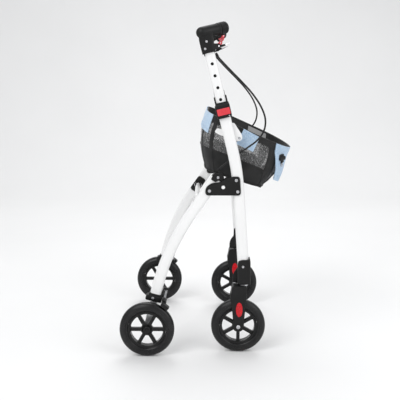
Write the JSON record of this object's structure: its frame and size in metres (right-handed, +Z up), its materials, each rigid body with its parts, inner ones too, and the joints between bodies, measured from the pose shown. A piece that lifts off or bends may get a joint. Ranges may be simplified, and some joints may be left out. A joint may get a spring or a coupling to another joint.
{
  "type": "rollator walker",
  "caption": "Folding rollator walking frame with height-adjustable handles, hand brakes, swivelling front casters and a soft open bag between the side frames.",
  "frame": {"origin": "on the floor, below the middle of the object's outline", "axes": "+X is forward, the way the walker is pushed; +Y is the user's left; +Z is up"},
  "size_m": [0.478, 0.5526, 0.9],
  "materials": {
    "frame_paint": "white gloss paint on oval aluminium tube",
    "black_plastic": "moulded black plastic with a fine grain",
    "red_plastic": "smooth red plastic",
    "tyre_rubber": "soft black solid tyre",
    "grip_rubber": "matt black rubber grip",
    "cable_sheath": "smooth black cable sheath",
    "steel": "zinc-plated steel",
    "bare_aluminium": "bare aluminium",
    "bag_fabric": "black mesh and nylon with light blue denim trim"
  },
  "bodies": {
    "right_frame": {"right_post": "frame_paint", "right_rear_leg": "frame_paint", "right_leg_cap": "black_plastic", "right_outer_plate": "black_plastic", "right_inner_plate": "black_plastic", "right_rear_brace_lug": "black_plastic", "right_bag_bracket": "frame_paint", "right_brake_cable": "cable_sheath", "right_caster_housing": "black_plastic", "right_collar": "black_plastic", "right_brake_bracket": "black_plastic", "right_brake_spring": "steel", "right_axle_strut": "bare_aluminium", "right_rear_axle": "steel", "bag": "bag_fabric"},
    "right_handle": {"right_height_tube": "frame_paint", "right_handle_housing": "black_plastic", "right_grip": "grip_rubber"},
    "right_button": {"right_height_button": "red_plastic"},
    "right_lever": {"right_brake_lever": "black_plastic"},
    "right_catch": {"right_parking_catch": "red_plastic"},
    "right_brake": {"right_brake_arm": "black_plastic"},
    "right_rear_wheel": {"right_rear_rim": "black_plastic", "right_rear_tyre": "tyre_rubber"},
    "right_caster": {"right_caster_fork": "black_plastic", "right_front_axle": "steel"},
    "right_front_wheel": {"right_front_rim": "black_plastic", "right_front_tyre": "tyre_rubber"},
    "right_front_brace": {"right_front_link": "frame_paint"},
    "right_rear_brace": {"right_rear_link": "frame_paint"},
    "left_frame": {"left_post": "frame_paint", "left_rear_leg": "frame_paint", "left_leg_cap": "black_plastic", "left_outer_plate": "black_plastic", "left_inner_plate": "black_plastic", "left_rear_brace_lug": "black_plastic", "left_bag_bracket": "frame_paint", "left_brake_cable": "cable_sheath", "left_caster_housing": "black_plastic", "left_collar": "black_plastic", "left_brake_bracket": "black_plastic", "left_brake_spring": "steel", "left_axle_strut": "bare_aluminium", "left_rear_axle": "steel"},
    "left_handle": {"left_height_tube": "frame_paint", "left_handle_housing": "black_plastic", "left_grip": "grip_rubber"},
    "left_button": {"left_height_button": "red_plastic"},
    "left_lever": {"left_brake_lever": "black_plastic"},
    "left_catch": {"left_parking_catch": "red_plastic"},
    "left_brake": {"left_brake_arm": "black_plastic"},
    "left_rear_wheel": {"left_rear_rim": "black_plastic", "left_rear_tyre": "tyre_rubber"},
    "left_caster": {"left_caster_fork": "black_plastic", "left_front_axle": "steel"},
    "left_front_wheel": {"left_front_rim": "black_plastic", "left_front_tyre": "tyre_rubber"},
    "left_front_brace": {"left_front_link": "frame_paint"},
    "left_rear_brace": {"left_rear_link": "frame_paint"}
  },
  "joints": [
    {"name": "fold", "type": "hinge", "parent": "right_frame", "child": "right_front_brace", "pos_m": [0.03, -0.195, 0.47], "axis": [-1, 0, 0], "range_deg": [0, 63.2], "deforming": ["bag"]},
    {"name": "front_knee", "type": "hinge", "parent": "right_front_brace", "child": "left_front_brace", "pos_m": [0.03, 0, 0.45636], "axis": [-1, 0, 0], "range_deg": [-126.4, 0]},
    {"name": "left_front_brace_pivot", "type": "hinge", "parent": "left_front_brace", "child": "left_frame", "pos_m": [0.03, 0.195, 0.47], "axis": [-1, 0, 0], "range_deg": [0, 63.2]},
    {"name": "rear_brace_pivot", "type": "hinge", "parent": "right_frame", "child": "right_rear_brace", "pos_m": [-0.033, -0.195, 0.405], "axis": [-1, 0, 0], "range_deg": [0, 63.2]},
    {"name": "rear_knee", "type": "hinge", "parent": "right_rear_brace", "child": "left_rear_brace", "pos_m": [-0.033, 0, 0.39136], "axis": [-1, 0, 0], "range_deg": [-126.4, 0]},
    {"name": "right_height", "type": "slide", "parent": "right_frame", "child": "right_handle", "axis": [-0.2351, 0, 0.972], "range_m": [-0.0957, 0], "deforming": ["right_brake_cable"]},
    {"name": "right_button_press", "type": "slide", "parent": "right_frame", "child": "right_button", "axis": [0, 1, 0], "range_m": [0, 0.003], "stiffness_N_per_m": 800},
    {"name": "right_brake_squeeze", "type": "hinge", "parent": "right_handle", "child": "right_lever", "pos_m": [0.02614, -0.20732, 0.83495], "axis": [0.4563, -0.8829, 0.1104], "range_deg": [0, 18], "stiffness_Nm_per_rad": 0.6, "springref_deg": -17.19},
    {"name": "right_catch_turn", "type": "hinge", "parent": "right_handle", "child": "right_catch", "pos_m": [0.03961, -0.197, 0.86187], "axis": [0.4563, -0.8829, 0.1104], "range_deg": [0, 22]},
    {"name": "right_brake_bite", "type": "hinge", "parent": "right_frame", "child": "right_brake", "pos_m": [-0.12297, -0.22, 0.14862], "axis": [0, 1, 0], "range_deg": [0, 4.8], "deforming": ["right_brake_spring"]},
    {"name": "right_rear_wheel_spin", "type": "hinge", "parent": "right_frame", "child": "right_rear_wheel", "pos_m": [-0.164, -0.26, 0.075], "axis": [0, 1, 0], "continuous": true},
    {"name": "right_caster_swivel", "type": "hinge", "parent": "right_frame", "child": "right_caster", "pos_m": [0.101, -0.22, 0.19], "axis": [0, 0, 1], "continuous": true},
    {"name": "right_front_wheel_spin", "type": "hinge", "parent": "right_caster", "child": "right_front_wheel", "pos_m": [0.086, -0.22, 0.075], "axis": [0, 1, 0], "continuous": true},
    {"name": "left_height", "type": "slide", "parent": "left_frame", "child": "left_handle", "axis": [-0.2351, 0, 0.972], "range_m": [-0.0957, 0], "deforming": ["left_brake_cable"]},
    {"name": "left_button_press", "type": "slide", "parent": "left_frame", "child": "left_button", "axis": [0, -1, 0], "range_m": [0, 0.003], "stiffness_N_per_m": 800},
    {"name": "left_brake_squeeze", "type": "hinge", "parent": "left_handle", "child": "left_lever", "pos_m": [0.02614, 0.20732, 0.83495], "axis": [-0.4563, -0.8829, -0.1104], "range_deg": [0, 18], "stiffness_Nm_per_rad": 0.6, "springref_deg": -17.19},
    {"name": "left_catch_turn", "type": "hinge", "parent": "left_handle", "child": "left_catch", "pos_m": [0.03961, 0.197, 0.86187], "axis": [-0.4563, -0.8829, -0.1104], "range_deg": [0, 22]},
    {"name": "left_brake_bite", "type": "hinge", "parent": "left_frame", "child": "left_brake", "pos_m": [-0.12297, 0.22, 0.14862], "axis": [0, 1, 0], "range_deg": [0, 4.8], "deforming": ["left_brake_spring"]},
    {"name": "left_rear_wheel_spin", "type": "hinge", "parent": "left_frame", "child": "left_rear_wheel", "pos_m": [-0.164, 0.26, 0.075], "axis": [0, 1, 0], "continuous": true},
    {"name": "left_caster_swivel", "type": "hinge", "parent": "left_frame", "child": "left_caster", "pos_m": [0.101, 0.22, 0.19], "axis": [0, 0, 1], "continuous": true},
    {"name": "left_front_wheel_spin", "type": "hinge", "parent": "left_caster", "child": "left_front_wheel", "pos_m": [0.086, 0.22, 0.075], "axis": [0, 1, 0], "continuous": true}
  ],
  "couplings": [
    {"joint": "front_knee", "follows": "fold", "ratio": -2},
    {"joint": "left_front_brace_pivot", "follows": "fold", "ratio": 1},
    {"joint": "rear_brace_pivot", "follows": "fold", "ratio": 1},
    {"joint": "rear_knee", "follows": "fold", "ratio": -2},
    {"joint": "right_brake_bite", "follows": "right_brake_squeeze", "ratio": 0.26667},
    {"joint": "left_brake_bite", "follows": "left_brake_squeeze", "ratio": 0.26667}
  ]
}
